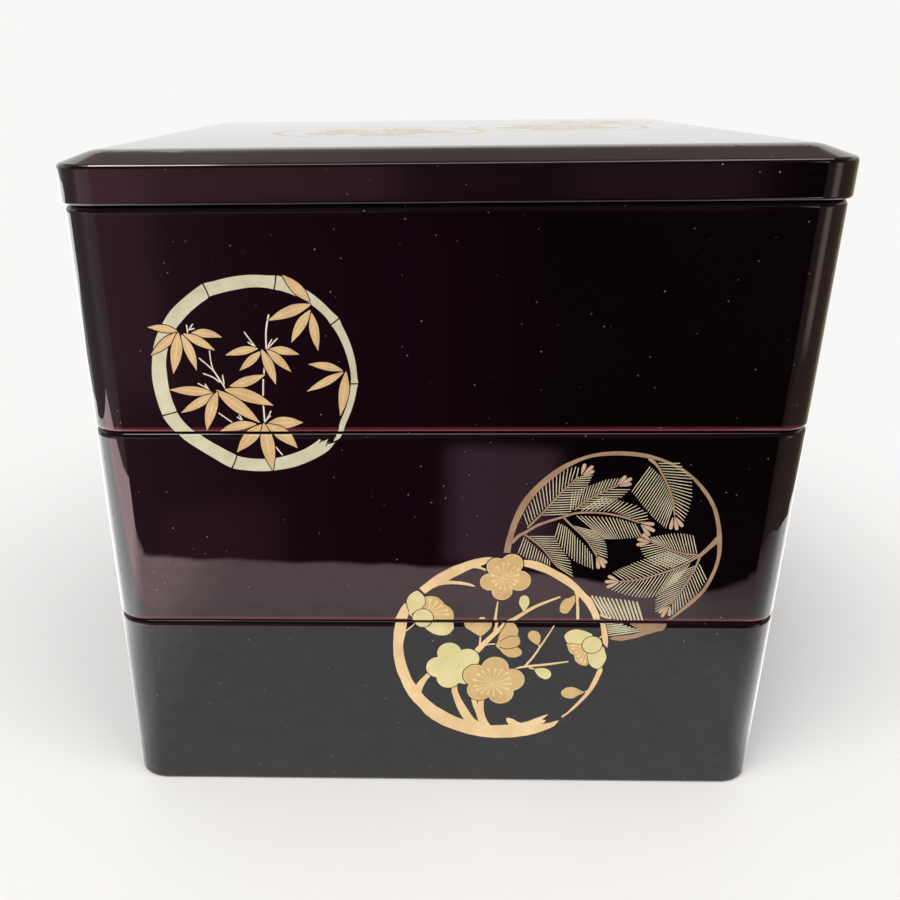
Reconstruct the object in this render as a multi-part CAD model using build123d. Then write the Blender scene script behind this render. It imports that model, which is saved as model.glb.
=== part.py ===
from build123d import *
import math
import os

# A three-tier stacking box of lacquered boards with a bevelled lid.
# Millimetres. +Z is up and the front faces -Y. The origin is the middle of the footprint, on the
# surface that the box stands on.

# Driving dimensions of the whole box
tier_names = ["bottom_tier", "middle_tier", "top_tier"]
tier_width = 195.0
tier_height = 58.6
corner_radius = 10.0
wall_thickness = 7.0

# Stacking joint: a raised lip inside each rim, and a rebate under each wall that drops over it
lip_thickness = 3.2
lip_height = 3.0
lip_clearance = 0.4
lip_headroom = 0.5
inner_corner_radius = 3.0

# Rounding of the edges that the lacquer softens
rim_fillet = 1.9
foot_fillet = 0.9
lip_fillet = 0.7

# Floor board, let into a groove above the rebate
floor_thickness = 4.0
ledge_height = 1.5
groove_depth = 2.5
groove_clearance = 0.3

# Loose tongues in the mitred corners of the walls
tongue_thickness = 2.0
tongue_width = 5.0
tongue_end_cover = 6.0
glue_gap = 0.1

# Lid
lid_overhang = 0.85
lid_edge_height = 9.4
rim_board_height = 6.2
bevel_width = 8.5
bevel_rise = 3.1
crown_corner_radius = 6.0
crown_fillet = 14.0
bevel_edge_fillet = 1.3
lid_foot_fillet = 0.8

# Loose tongues in the mitred corners of the lid's rim
lid_tongue_thickness = 1.5
lid_tongue_width = 3.0
lid_tongue_end_cover = 1.2

# How far a cutting shape runs past what it cuts, and how closely a level is matched
overrun = 2.0
level_match = 0.01

# Sizes that follow from those above
tier_half = tier_width / 2
inner_half = tier_half - wall_thickness
lip_half = inner_half + lip_thickness
lip_radius = inner_corner_radius + lip_thickness
rebate_half = lip_half + lip_clearance
rebate_radius = lip_radius + lip_clearance
rebate_height = lip_height + lip_headroom
floor_bottom = rebate_height + ledge_height
floor_top = floor_bottom + floor_thickness
shoulder_width = tier_half - lip_half
land_width = tier_half - rebate_half
lid_half = tier_half + lid_overhang
lid_radius = corner_radius + lid_overhang
crown_half = lid_half - bevel_width
lid_bottom = len(tier_names) * tier_height
panel_bottom = lid_bottom + rim_board_height
bevel_bottom = lid_bottom + lid_edge_height
lid_top = bevel_bottom + bevel_rise

# Each wall is the front one turned about the middle of the box
sides = {"front": 0, "right": 90, "back": 180, "left": 270}


def square_plan(half, radius, z):
    """A square with rounded corners, half a side out from the middle, at a height."""
    return Pos(0, 0, z) * RectangleRounded(2 * half, 2 * half, radius)


def block(half, radius, bottom, top):
    """An upright block on that plan, between two heights."""
    return extrude(square_plan(half, radius, bottom), top - bottom)


def outline_at(solid, z):
    """The edges of a solid that lie in the level plane at a height."""
    level = solid.edges().filter_by_position(Axis.Z, z - level_match, z + level_match)
    return [edge for edge in level if edge.bounding_box().size.Z < level_match]


def mitre_wedge(bottom, top):
    """The front quarter of the box, between the two mitre planes and two heights."""
    reach = lid_half + overrun
    quarter = make_face(Polyline((0, 0), (-reach, -reach), (reach, -reach), close=True))
    return extrude(Pos(0, 0, bottom - overrun) * quarter, top - bottom + 2 * overrun)


def split_into_boards(ring, bottom, top):
    """Cuts a closed ring along its mitres and gives the four boards by side."""
    front = ring & mitre_wedge(bottom, top)
    return {side: Rot(0, 0, angle) * front for side, angle in sides.items()}


def mitre_middle(outer_half, outer_radius, hollow_half, hollow_radius):
    """How far the middle of a mitre lies from the box's axis, along the diagonal."""
    outer_corner = math.sqrt(2) * (outer_half - outer_radius) + outer_radius
    inner_corner = math.sqrt(2) * (hollow_half - hollow_radius) + hollow_radius
    return (outer_corner + inner_corner) / 2


def corner_tongues(thickness, width, bottom, top, distance, grow):
    """One upright tongue across each mitre, each larger all round by grow."""
    height = top - bottom + 2 * grow
    blank = Box(thickness + 2 * grow, width + 2 * grow, height)
    placed = Pos(distance, 0, (bottom + top) / 2) * blank
    return [Rot(0, 0, angle + 45) * placed for angle in sides.values()]


def tier_ring():
    """The four walls of a tier in one piece, standing on z = 0."""
    body = block(tier_half, corner_radius, 0, tier_height)
    body = fillet(outline_at(body, 0), min(foot_fillet, land_width / 2))
    body = fillet(outline_at(body, tier_height), min(rim_fillet, shoulder_width / 2))
    lip_top = tier_height + lip_height
    body += block(lip_half, lip_radius, floor_top, lip_top)
    body -= block(inner_half, inner_corner_radius, -overrun, lip_top + overrun)
    body = fillet(outline_at(body, lip_top), min(lip_fillet, lip_thickness / 3))
    body -= block(rebate_half, rebate_radius, -overrun, rebate_height)
    groove_half = inner_half + groove_depth
    groove_radius = inner_corner_radius + groove_depth
    return body - block(groove_half, groove_radius, floor_bottom, floor_top)


def tier_parts():
    """The pieces of one tier, standing on z = 0, by name."""
    distance = mitre_middle(tier_half, corner_radius, inner_half, inner_corner_radius)
    place = (
        tongue_thickness,
        tongue_width,
        floor_top + tongue_end_cover,
        tier_height - tongue_end_cover,
        distance,
    )
    ring = tier_ring()
    for slot in corner_tongues(*place, glue_gap):
        ring -= slot
    boards = split_into_boards(ring, 0, tier_height + lip_height)
    parts = {f"{side}_wall": board for side, board in boards.items()}
    tongue_depth = groove_depth - groove_clearance
    parts["floor_board"] = block(
        inner_half + tongue_depth, inner_corner_radius + tongue_depth, floor_bottom, floor_top
    )
    parts["corner_tongues"] = Compound(children=corner_tongues(*place, 0))
    return parts


def lid_rim():
    """The four rim boards of the lid in one piece."""
    rim = block(lid_half, lid_radius, lid_bottom, panel_bottom)
    rim = fillet(outline_at(rim, lid_bottom), min(lid_foot_fillet, (lid_half - rebate_half) / 3))
    return rim - block(rebate_half, rebate_radius, lid_bottom - overrun, panel_bottom + overrun)


def lid_panel():
    """The lid's top board, with a bevel that runs softly into its flat top."""
    low = square_plan(lid_half, lid_radius, bevel_bottom)
    high = square_plan(crown_half, crown_corner_radius, lid_top)
    crown = loft([low.face(), high.face()], ruled=True)
    panel = block(lid_half, lid_radius, panel_bottom, bevel_bottom) + crown
    panel = fillet(outline_at(panel, lid_top), crown_fillet)
    return fillet(outline_at(panel, bevel_bottom), min(bevel_edge_fillet, (bevel_bottom - panel_bottom) / 2))


def lid_parts():
    """The pieces of the lid, in place on the top tier, by name."""
    distance = mitre_middle(lid_half, lid_radius, rebate_half, rebate_radius)
    place = (
        lid_tongue_thickness,
        lid_tongue_width,
        lid_bottom + lid_tongue_end_cover,
        panel_bottom - lid_tongue_end_cover,
        distance,
    )
    rim = lid_rim()
    for slot in corner_tongues(*place, glue_gap):
        rim -= slot
    boards = split_into_boards(rim, lid_bottom, panel_bottom)
    parts = {f"{side}_rim": board for side, board in boards.items()}
    parts["panel"] = lid_panel()
    parts["corner_tongues"] = Compound(children=corner_tongues(*place, 0))
    return parts


def write(name, solid):
    """Writes one piece to its own file."""
    solid.label = name
    export_step(solid, f"parts/{name}.step")


os.makedirs("parts", exist_ok=True)
one_tier = tier_parts()
for level, tier in enumerate(tier_names):
    for name, solid in one_tier.items():
        write(f"{tier}_{name}", Pos(0, 0, level * tier_height) * solid)
for name, solid in lid_parts().items():
    write(f"lid_{name}", solid)
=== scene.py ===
import math

import bpy
from mathutils import Matrix, Vector
from mathutils.geometry import delaunay_2d_cdt


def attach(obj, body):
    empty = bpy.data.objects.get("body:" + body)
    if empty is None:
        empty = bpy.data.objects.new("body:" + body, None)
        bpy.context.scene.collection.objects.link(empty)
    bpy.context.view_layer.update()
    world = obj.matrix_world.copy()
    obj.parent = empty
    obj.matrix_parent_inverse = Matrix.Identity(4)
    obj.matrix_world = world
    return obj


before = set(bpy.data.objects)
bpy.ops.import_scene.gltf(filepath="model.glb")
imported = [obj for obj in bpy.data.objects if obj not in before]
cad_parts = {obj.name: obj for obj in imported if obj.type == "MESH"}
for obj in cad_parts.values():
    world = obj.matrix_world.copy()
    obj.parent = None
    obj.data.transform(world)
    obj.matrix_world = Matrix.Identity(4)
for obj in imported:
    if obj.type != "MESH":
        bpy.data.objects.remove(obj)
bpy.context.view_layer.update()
scene = bpy.context.scene
scene.view_settings.view_transform = "Standard"
MM = 0.001

# Sizes of the box that the artwork follows, in millimetres
tier_names = ["bottom_tier", "middle_tier", "top_tier"]
tier_height = 58.6
tier_half = 97.5
rim_fillet = 1.9
foot_fillet = 0.9


# Camera, at the photograph's viewing angle

IMAGE_SIZE = 900
focal_pixels = 927.071
axis_pixel = (379.375, 493.237)
camera_place = (-11.562, -330.502, 202.131)
pitch, yaw, roll = (math.radians(a) for a in (23.771, -1.746, -0.664))


def add_camera():
    """A camera of 36 mm sensor width, with its axis through axis_pixel."""
    forward = Vector((math.sin(yaw) * math.cos(pitch), math.cos(yaw) * math.cos(pitch), -math.sin(pitch)))
    right = forward.cross(Vector((0, 0, 1))).normalized()
    up = right.cross(forward)
    across = right * math.cos(roll) + up * math.sin(roll)
    upward = up * math.cos(roll) - right * math.sin(roll)
    data = bpy.data.cameras.new("camera")
    data.sensor_width = 36
    data.lens = focal_pixels / IMAGE_SIZE * data.sensor_width
    data.shift_x = (IMAGE_SIZE / 2 - axis_pixel[0]) / IMAGE_SIZE
    data.shift_y = (axis_pixel[1] - IMAGE_SIZE / 2) / IMAGE_SIZE
    data.clip_start = 0.01
    data.clip_end = 50
    camera = bpy.data.objects.new("camera", data)
    turn = Matrix((across, upward, -forward)).transposed().to_4x4()
    camera.matrix_world = Matrix.Translation(Vector(camera_place) * MM) @ turn
    scene.collection.objects.link(camera)
    scene.camera = camera


# Node helpers


class Shader:
    """A node tree with short calls to add nodes and join them."""

    def __init__(self, owner):
        owner.use_nodes = True
        self.tree = owner.node_tree
        self.tree.nodes.clear()

    def node(self, kind, inputs=None, **settings):
        """Adds a shader node, sets its settings, and sets or links its inputs by name or number."""
        node = self.tree.nodes.new("ShaderNode" + kind)
        for key, value in settings.items():
            setattr(node, key, value)
        for key, value in (inputs or {}).items():
            if isinstance(value, bpy.types.NodeSocket):
                self.tree.links.new(value, node.inputs[key])
            else:
                node.inputs[key].default_value = value
        return node

    def math(self, operation, a, b=0.0, clamp=False):
        """A Math node on numbers or sockets. Operations that need one input only leave the second unused."""
        return self.node("Math", {0: a, 1: b}, operation=operation, use_clamp=clamp).outputs[0]

    def plus(self, a, b):
        return self.math("ADD", a, b)

    def minus(self, a, b):
        return self.math("SUBTRACT", a, b)

    def times(self, a, b):
        return self.math("MULTIPLY", a, b)

    def larger(self, a, b):
        return self.math("MAXIMUM", a, b)

    def axes(self, vector):
        """The three numbers that a vector has."""
        return self.node("SeparateXYZ", {0: vector}).outputs

    def ramp(self, value, stops):
        """A colour ramp through (place, grey or colour) stops."""
        node = self.node("ValToRGB", {0: value})
        elements = node.color_ramp.elements
        while len(elements) < len(stops):
            elements.new(0.5)
        for element, (place, colour) in zip(elements, stops):
            element.position = place
            rgb = colour if isinstance(colour, tuple) else (colour,) * 3
            element.color = (*rgb, 1.0)
        return node.outputs[0]

    def smooth(self, value, low, high, to_low=0.0, to_high=1.0):
        """Goes smoothly from one value to another as value goes from low to high."""
        inputs = {"Value": value, "From Min": low, "From Max": high, "To Min": to_low, "To Max": to_high}
        return self.node("MapRange", inputs, interpolation_type="SMOOTHSTEP").outputs[0]

    def band(self, value, low, high, soft):
        """1 where value lies between low and high, with soft ends."""
        rise = self.smooth(value, low - soft, low + soft)
        return self.times(rise, self.smooth(value, high - soft, high + soft, 1.0, 0.0))

    def mix(self, factor, a, b):
        return self.node("Mix", {0: factor, 6: a, 7: b}, data_type="RGBA").outputs[2]

    def add(self, base, factor, colour):
        """Adds a colour, as strong as factor, to a base colour."""
        inputs = {0: factor, 6: base, 7: (*colour, 1.0)}
        return self.node("Mix", inputs, data_type="RGBA", blend_type="ADD").outputs[2]

    def noise(self, vector, scale, detail=2.0, roughness=0.5):
        inputs = {"Vector": vector, "Scale": scale, "Detail": detail, "Roughness": roughness}
        return self.node("TexNoise", inputs).outputs[0]

    def position(self):
        """The place on the part, in metres, at rest."""
        return self.node("TexCoord").outputs["Object"]


def rgb(red, green, blue):
    """The shader colour of an sRGB colour given as 0 to 255."""
    values = [c / 255 for c in (red, green, blue)]
    linear = [c / 12.92 if c <= 0.04045 else ((c + 0.055) / 1.055) ** 2.4 for c in values]
    return (*linear, 1.0)


# Materials


# The red ground shows through the thin coat above each seam, outside the stacking lip, and is painted
# lighter there as a painted reflection of the glow that the downward-facing feet mirror. Metres
RED_AND_GLOW_FADE = (0.0011, 0.0017)
LIP_REACH = 0.0942
SEAM_SHIFT = 0.00001
ABOVE_THE_FLOOR = 0.01

# Roundels on the lid's top: centre, radius and turn of each, the heights that they show between, how much
# they cover, and how soft their lines are. Metres
LID_ROUNDELS = [((-0.020, -0.012), 0.034, 0.4), ((0.040, 0.010), 0.030, 1.3), ((0.058, 0.046), 0.022, 0.9)]
LID_TOP = (0.1878, 0.1882)
ROUNDEL_COVER = 0.55
LINE_SOFTNESS = 0.0002
PETALS = 5
STAMENS_TO_A_PETAL = 6.0

# Sprinkled metal: how fine its grains are, as a noise scale, and how much of it shines as metal
POWDER_SCALE = 5200.0
METAL_SHARE = 0.35


def roundel_mask(s, x, y, centre, radius, turn):
    """1 on the gold of a ring with a five-petalled blossom in it, on the level top of the lid. Metres."""
    across, along = s.minus(x, centre[0]), s.minus(y, centre[1])
    away = s.math("SQRT", s.plus(s.times(across, across), s.times(along, along)))
    angle = s.plus(s.times(s.math("ARCTAN2", along, across), PETALS / 2), turn)
    petal = s.math("ABSOLUTE", s.math("COSINE", angle))
    reach = s.times(s.plus(s.times(s.math("POWER", petal, 0.5), 0.35), 0.38), radius)
    ring = s.band(away, radius * 0.93, radius, LINE_SOFTNESS)
    inside = s.smooth(s.minus(reach, away), -LINE_SOFTNESS, LINE_SOFTNESS)
    filled = s.times(inside, s.smooth(away, 0.003, 0.0034))
    rays = s.band(away, radius * 0.16, radius * 0.34, LINE_SOFTNESS)
    stamens = s.times(rays, s.smooth(s.math("COSINE", s.times(angle, STAMENS_TO_A_PETAL)), 0.5, 0.7))
    lines = s.times(filled, s.smooth(petal, 0.02, 0.05))
    return s.larger(ring, s.math("SUBTRACT", lines, stamens, True))


def lacquer_material(name, for_lid):
    """Red-black urushi: a dark, faintly red ground with a little dust in it, under a thick clear gloss."""
    material = bpy.data.materials.new(name)
    s = Shader(material)
    place = s.position()
    x, y, height = s.axes(place)
    cloud = s.noise(place, 14.0, 3.0)
    ground = s.mix(s.smooth(cloud, 0.3, 0.7), rgb(6, 2, 3), rgb(9, 3, 5))
    if not for_lid:
        above = s.math("MODULO", s.plus(height, SEAM_SHIFT), tier_height * MM)
        outward = s.larger(s.math("ABSOLUTE", x), s.math("ABSOLUTE", y))
        high_enough = s.math("GREATER_THAN", height, ABOVE_THE_FLOOR)
        outside = s.times(s.math("GREATER_THAN", outward, LIP_REACH), high_enough)
        up = s.axes(s.node("NewGeometry").outputs["Normal"])[2]
        outside = s.times(outside, s.smooth(up, 0.2, 0.5, 1.0, 0.0))
        # Partly the red ground, partly painted reflection: a lighter red for the glow that the feet mirror
        red = s.times(s.smooth(above, *RED_AND_GLOW_FADE, 1.0, 0.0), outside)
        ground = s.mix(red, ground, rgb(86, 24, 36))
    dust = s.node("TexVoronoi", {"Vector": place, "Scale": 300.0})
    small = s.smooth(dust.outputs["Distance"], 0.035, 0.062, 1.0, 0.0)
    share = s.times(small, s.axes(dust.outputs["Color"])[0])
    ground = s.mix(s.times(share, 0.5), ground, rgb(215, 205, 205))
    bump = s.node("Bump", {"Strength": 1.0, "Distance": 0.00006, "Height": s.noise(place, 9.0, 2.0)})
    surface = s.node(
        "BsdfPrincipled",
        {
            "Base Color": ground,
            "Roughness": 0.32,
            "IOR": 1.5,
            "Specular IOR Level": 0.0,
            "Coat Weight": 1.0,
            "Coat Roughness": 0.012,
            "Coat IOR": 1.6,
            "Normal": bump.outputs[0],
            "Coat Normal": bump.outputs[0],
        },
    )
    if for_lid:
        gold = 0.0
        for roundel in LID_ROUNDELS:
            gold = s.larger(gold, roundel_mask(s, x, y, *roundel))
        gold = s.times(gold, s.smooth(height, *LID_TOP, 0.0, ROUNDEL_COVER))
        grains = s.noise(place, POWDER_SCALE, 2.0, 0.7)
        powder = s.mix(s.smooth(grains, 0.36, 0.64), rgb(190, 158, 112), rgb(224, 196, 146))
        metal = s.node("BsdfPrincipled", {"Base Color": powder, "Roughness": 0.42, "Metallic": METAL_SHARE})
        surface = s.node("MixShader", {0: gold, 1: surface.outputs[0], 2: metal.outputs[0]})
    s.node("OutputMaterial", {"Surface": surface.outputs[0]})
    return material


def wood_material():
    """Bare hinoki, with its grain upright."""
    material = bpy.data.materials.new("bare_wood")
    s = Shader(material)
    place = s.position()
    stretched = s.node("Mapping", {"Vector": place, "Scale": (1.0, 1.0, 0.06)}).outputs[0]
    grain = s.noise(stretched, 900.0, 4.0, 0.6)
    colour = s.mix(s.smooth(grain, 0.35, 0.65), rgb(222, 190, 140), rgb(190, 150, 100))
    bump = s.node("Bump", {"Strength": 0.4, "Distance": 0.0001, "Height": grain})
    bsdf = s.node("BsdfPrincipled", {"Base Color": colour, "Roughness": 0.7, "Normal": bump.outputs[0]})
    s.node("OutputMaterial", {"Surface": bsdf.outputs[0]})
    return material


def gold_material(name, light, dark):
    """Sprinkled metal powder, set in lacquer and polished: fine grains that lie thicker in some places."""
    material = bpy.data.materials.new(name)
    s = Shader(material)
    place = s.position()
    grains = s.noise(place, POWDER_SCALE, 2.0, 0.7)
    patches = s.noise(place, 160.0, 3.0, 0.6)
    tone = s.plus(s.times(grains, 0.45), s.times(patches, 0.55))
    colour = s.mix(s.smooth(tone, 0.36, 0.64), rgb(*dark), rgb(*light))
    rough = s.smooth(grains, 0.3, 0.7, 0.36, 0.52)
    bump = s.node("Bump", {"Strength": 0.35, "Distance": 0.00003, "Height": grains})
    bsdf = s.node(
        "BsdfPrincipled",
        {"Base Color": colour, "Roughness": rough, "Metallic": METAL_SHARE, "Normal": bump.outputs[0]},
    )
    s.node("OutputMaterial", {"Surface": bsdf.outputs[0]})
    return material


# Outlines, in millimetres across the front (x) and up it (z)


def curve_through(points, steps=6):
    """Points along a smooth curve through the given ones, which have any number of values each."""
    last = len(points) - 1
    out = []
    for i in range(last):
        before, after = points[max(i - 1, 0)], points[min(i + 2, last)]
        for step in range(steps):
            t = step / steps
            out.append(tuple(
                0.5 * (2 * q + (r - p) * t + (2 * p - 5 * q + 4 * r - s) * t * t
                       + (3 * q - p - 3 * r + s) * t ** 3)
                for p, q, r, s in zip(before, points[i], points[i + 1], after)
            ))
    return out + [tuple(points[-1])]


def blossom(centre, petals, steps=150):
    """The outline of round petals, each given as its angle, the distance of its middle, and its radius."""
    points = []
    for i in range(steps):
        angle = 2 * math.pi * i / steps
        reach = 0.05
        for turn, distance, radius in petals:
            off = angle - math.radians(turn)
            inside = radius ** 2 - (distance * math.sin(off)) ** 2
            if inside > 0:
                reach = max(reach, distance * math.cos(off) + math.sqrt(inside))
        points.append((centre[0] + reach * math.cos(angle), centre[1] + reach * math.sin(angle)))
    return points


def rounded(points, steps=3):
    """A smooth closed outline through points."""
    line = curve_through(points[-1:] + points + points[:2], steps)
    return line[steps:steps * (len(points) + 1)]


def disc(x, z, radius):
    """A round outline, with more points the larger it is."""
    return blossom((x, z), [(0.0, 0.0, radius)], steps=max(10, round(16 * radius ** 0.5)))


def signed_area(outline):
    """The area inside an outline, less than zero where it runs clockwise."""
    return sum(a[0] * b[1] - b[0] * a[1] for a, b in zip(outline, outline[1:] + outline[:1])) / 2


def grown(outline, amount):
    """A closed outline, moved outwards by an amount."""
    side = amount if signed_area(outline) > 0 else -amount
    out = []
    for i, (x, z) in enumerate(outline):
        before, after = outline[i - 1], outline[(i + 1) % len(outline)]
        along = Vector((after[0] - before[0], after[1] - before[1])).normalized()
        out.append((x + along[1] * side, z - along[0] * side))
    return out


def stroke(points, steps=6):
    """The outline of a round-ended brush stroke through (x, z, width) points."""
    line = curve_through(points, steps)
    left, right = [], []
    for i, (x, z, width) in enumerate(line):
        before, after = line[max(i - 1, 0)], line[min(i + 1, len(line) - 1)]
        along = Vector((after[0] - before[0], after[1] - before[1])).normalized() * width / 2
        left.append((x - along[1], z + along[0]))
        right.append((x + along[1], z - along[0]))
    caps = []
    for (x, z, width), (nx, nz, _) in ((line[-1], line[-2]), (line[0], line[1])):
        outward = math.atan2(z - nz, x - nx)
        turns = [outward + math.radians(a) for a in (60, 30, 0, -30, -60)] if width > 0.15 else []
        caps.append([(x + width / 2 * math.cos(a), z + width / 2 * math.sin(a)) for a in turns])
    return left + caps[0] + right[::-1] + caps[1]


def shaped(base, tip, width, profile, bow=0.0):
    """A stroke from base to tip whose width follows (share, width share) points. bow bends it sideways."""
    across = Vector((base[1] - tip[1], tip[0] - base[0])).normalized()
    points = []
    for share, wide in profile:
        side = 4 * bow * share * (1 - share)
        x = base[0] + (tip[0] - base[0]) * share + across[0] * side
        z = base[1] + (tip[1] - base[1]) * share + across[1] * side
        points.append((x, z, width * wide))
    return stroke(points, steps=4)


# Width profiles for shaped(), as shares of the length and of the width
LEAF = ((0, 0.15), (0.12, 0.52), (0.3, 0.92), (0.48, 1.0), (0.7, 0.76), (0.87, 0.36), (1.0, 0.03))
VEIN = ((0.12, 0.03), (0.35, 0.1), (0.6, 0.075), (0.85, 0.02))
BUD = ((0, 0.1), (0.2, 0.42), (0.45, 0.85), (0.65, 1.0), (0.82, 0.9))


def needles(pairs, count, width=0.25):
    """Straight pine needles. Each pair gives a root and a tip, and those between are evenly spaced."""
    gaps = [0.0]
    for a, b in zip(pairs, pairs[1:]):
        gaps.append(gaps[-1] + math.hypot(a[0] - b[0], a[1] - b[1]) + math.hypot(a[2] - b[2], a[3] - b[3]))
    out = []
    for i in range(count):
        at = gaps[-1] * i / (count - 1)
        k = max(j for j in range(len(pairs) - 1) if gaps[j] <= at + 1e-9)
        share = (at - gaps[k]) / (gaps[k + 1] - gaps[k])
        x0, z0, x1, z1 = (a + (b - a) * share for a, b in zip(pairs[k], pairs[k + 1]))
        middle = ((x0 + x1) / 2, (z0 + z1) / 2, width)
        out.append(stroke([(x0, z0, width * 0.8), middle, (x1, z1, width * 0.75)], 1))
    return out


class Drawing:
    """Shapes laid over one another. Where they overlap the last one shows. A bare one shows the lacquer."""

    def __init__(self):
        self.shapes = []

    def lay(self, layer, outline, gap=0.0):
        """Adds a shape, with a gap round it if it needs one to stand apart from what lies under it."""
        if gap:
            self.shapes.append(("bare", grown(outline, gap)))
        self.shapes.append((layer, outline))

    def stamen(self, start, width, ends, end_width, knob):
        """A thread with a knob on it. ends has the thread's end and the middle of the knob."""
        self.lay("light_gold_and_edge_highlight", stroke([(*start, width), (*ends[0], end_width)], 2))
        self.lay("light_gold_and_edge_highlight", disc(*ends[1], knob))

    def regions(self, levels):
        """Cuts the shapes where they or the level lines cross, and gives the triangles that show by layer."""
        points, edges, faces = [], [], []
        for _, outline in self.shapes:
            ring = outline if signed_area(outline) > 0 else outline[::-1]
            ring = [p for p, q in zip(ring, ring[-1:] + ring[:-1]) if math.dist(p, q) > 1e-4]
            faces.append(list(range(len(points), len(points) + len(ring))))
            points += ring
        left, right = min(p[0] for p in points) - 1, max(p[0] for p in points) + 1
        for level in levels:
            edges.append((len(points), len(points) + 1))
            points += [(left, level), (right, level)]
        found = delaunay_2d_cdt([Vector(p) for p in points], edges, faces, 0, 1e-5)
        places, triangles, owners = found[0], found[2], found[5]
        shown = {}
        for triangle, owner in zip(triangles, owners):
            if owner:
                layer = self.shapes[max(owner)][0]
                if layer != "bare":
                    shown.setdefault(layer, []).append(tuple(triangle))
        return places, shown


# The roundels: bamboo across the two upper tiers, pine on the middle one, plum across the two lower ones


BAMBOO_CENTRE = (-50.4, 132.75)

# The ring's angle, inner radius and outer radius, and its frayed end
BAMBOO_RIM = [
    (-42.4, 26.5, 26.7), (-39, 26.2, 27.35), (-35, 25.7, 27.1), (-30, 24.9, 26.5), (-20, 24.7, 26.3),
    (-8, 24.7, 26.35), (-4.4, 24.65, 26.6), (0, 24.7, 26.3), (10, 24.4, 26.2), (20, 24.25, 26.2),
    (30, 24.2, 26.35), (34.9, 24.1, 26.75), (40, 24.25, 26.4), (50, 24.1, 26.4), (60, 23.85, 26.5),
    (70, 23.6, 26.95), (76.1, 23.35, 26.9), (80, 23.4, 26.5), (90, 23.2, 26.3), (100, 22.95, 26.25),
    (110, 23.15, 26.45), (116.6, 23.45, 27), (120, 23.25, 26.9), (130, 23.25, 26.85), (140, 23.4, 27.15),
    (150, 23.75, 27.25), (160, 23.8, 27.45), (170, 23.75, 27.35), (180, 23.5, 27.5), (190, 23.6, 27.55),
    (199, 23.75, 27.8), (204, 23.9, 28), (210, 23.9, 27.75), (220, 23.4, 27.1), (230, 22.7, 26.45),
    (240, 22.55, 26.4), (249, 22.85, 26.95), (254, 23.2, 27.1), (260, 23.2, 26.85), (270, 23.15, 26.7),
    (280, 23.2, 26.7), (290, 23.2, 26.9), (300, 23.4, 27.1), (308, 23.5, 27.4), (312, 23.55, 27.5),
]
BAMBOO_FRAYED = [
    (-30.4, 114.4), (-32.2, 113.85), (-31.7, 114.7), (-33.1, 113.75), (-32.2, 115.35), (-33.9, 114.5),
    (-33.3, 115.45), (-34.2, 114.8), (-34.5, 115.4),
]

# Lacquer lines across the ring at the bamboo's nodes, and along it at its frayed end
BAMBOO_NODES = [
    ((-62.5, 157.1), (-61, 153)), ((-43.9, 159), (-44.7, 154.9)), ((-28.4, 148), (-30.7, 146.3)),
    ((-23.6, 130.7), (-26.1, 130.7)), ((-76.8, 121.9), (-71.6, 123.3)), ((-58.9, 106.7), (-57.1, 110.8)),
]
BAMBOO_STREAKS = [
    [(-30, 116.1, 0.08), (-31.7, 114.6, 0.2), (-32.9, 113.4, 0.3)],
    [(-31.4, 117.2, 0.08), (-33, 115.7, 0.2), (-34.6, 114.3, 0.32)],
]

# The upright stem between the leaves, the twigs beside it, and leaves, each as its base, tip, width and bow
BAMBOO_STEM = [
    [(-46.3, 148.9), (-47.2, 144.9), (-47.4, 140.2)], [(-48.2, 135.3), (-48.4, 133.6)],
    [(-48.7, 131.9), (-49, 127.7)], [(-49.1, 124.7), (-49, 120.3)],
]
BAMBOO_TWIGS = [
    [(-67.4, 144.2), (-67.5, 146.4)], [(-67, 145.2), (-66, 146.6)], [(-67, 145.2), (-65.7, 145.5)],
    [(-52.8, 144.5), (-50.1, 140.5)], [(-52, 141.9), (-50.1, 140.5)], [(-44.5, 142.8), (-47, 140.3)],
    [(-45.9, 142.5), (-46.9, 140.9)], [(-65, 137.7), (-61.5, 134.2), (-58.8, 129.4)],
    [(-62.2, 139.6), (-61.8, 135.2), (-59.9, 131.3)], [(-64.3, 133.6), (-61.9, 132.6), (-60.3, 131.3)],
    [(-59.3, 133.1), (-59.1, 130.7)], [(-65.9, 130.9), (-63.4, 129.4), (-62.7, 128.2)],
    [(-64.1, 130.7), (-62.8, 128.4)], [(-61.1, 122.7), (-57.6, 120)], [(-55.9, 122.8), (-54.9, 120.5)],
    [(-56.2, 121.6), (-55, 120.6)], [(-47.2, 123.2), (-48.7, 120.5)], [(-47.4, 121.9), (-48.5, 120.9)],
    [(-46.4, 113), (-44.8, 110.8)],
]
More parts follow.
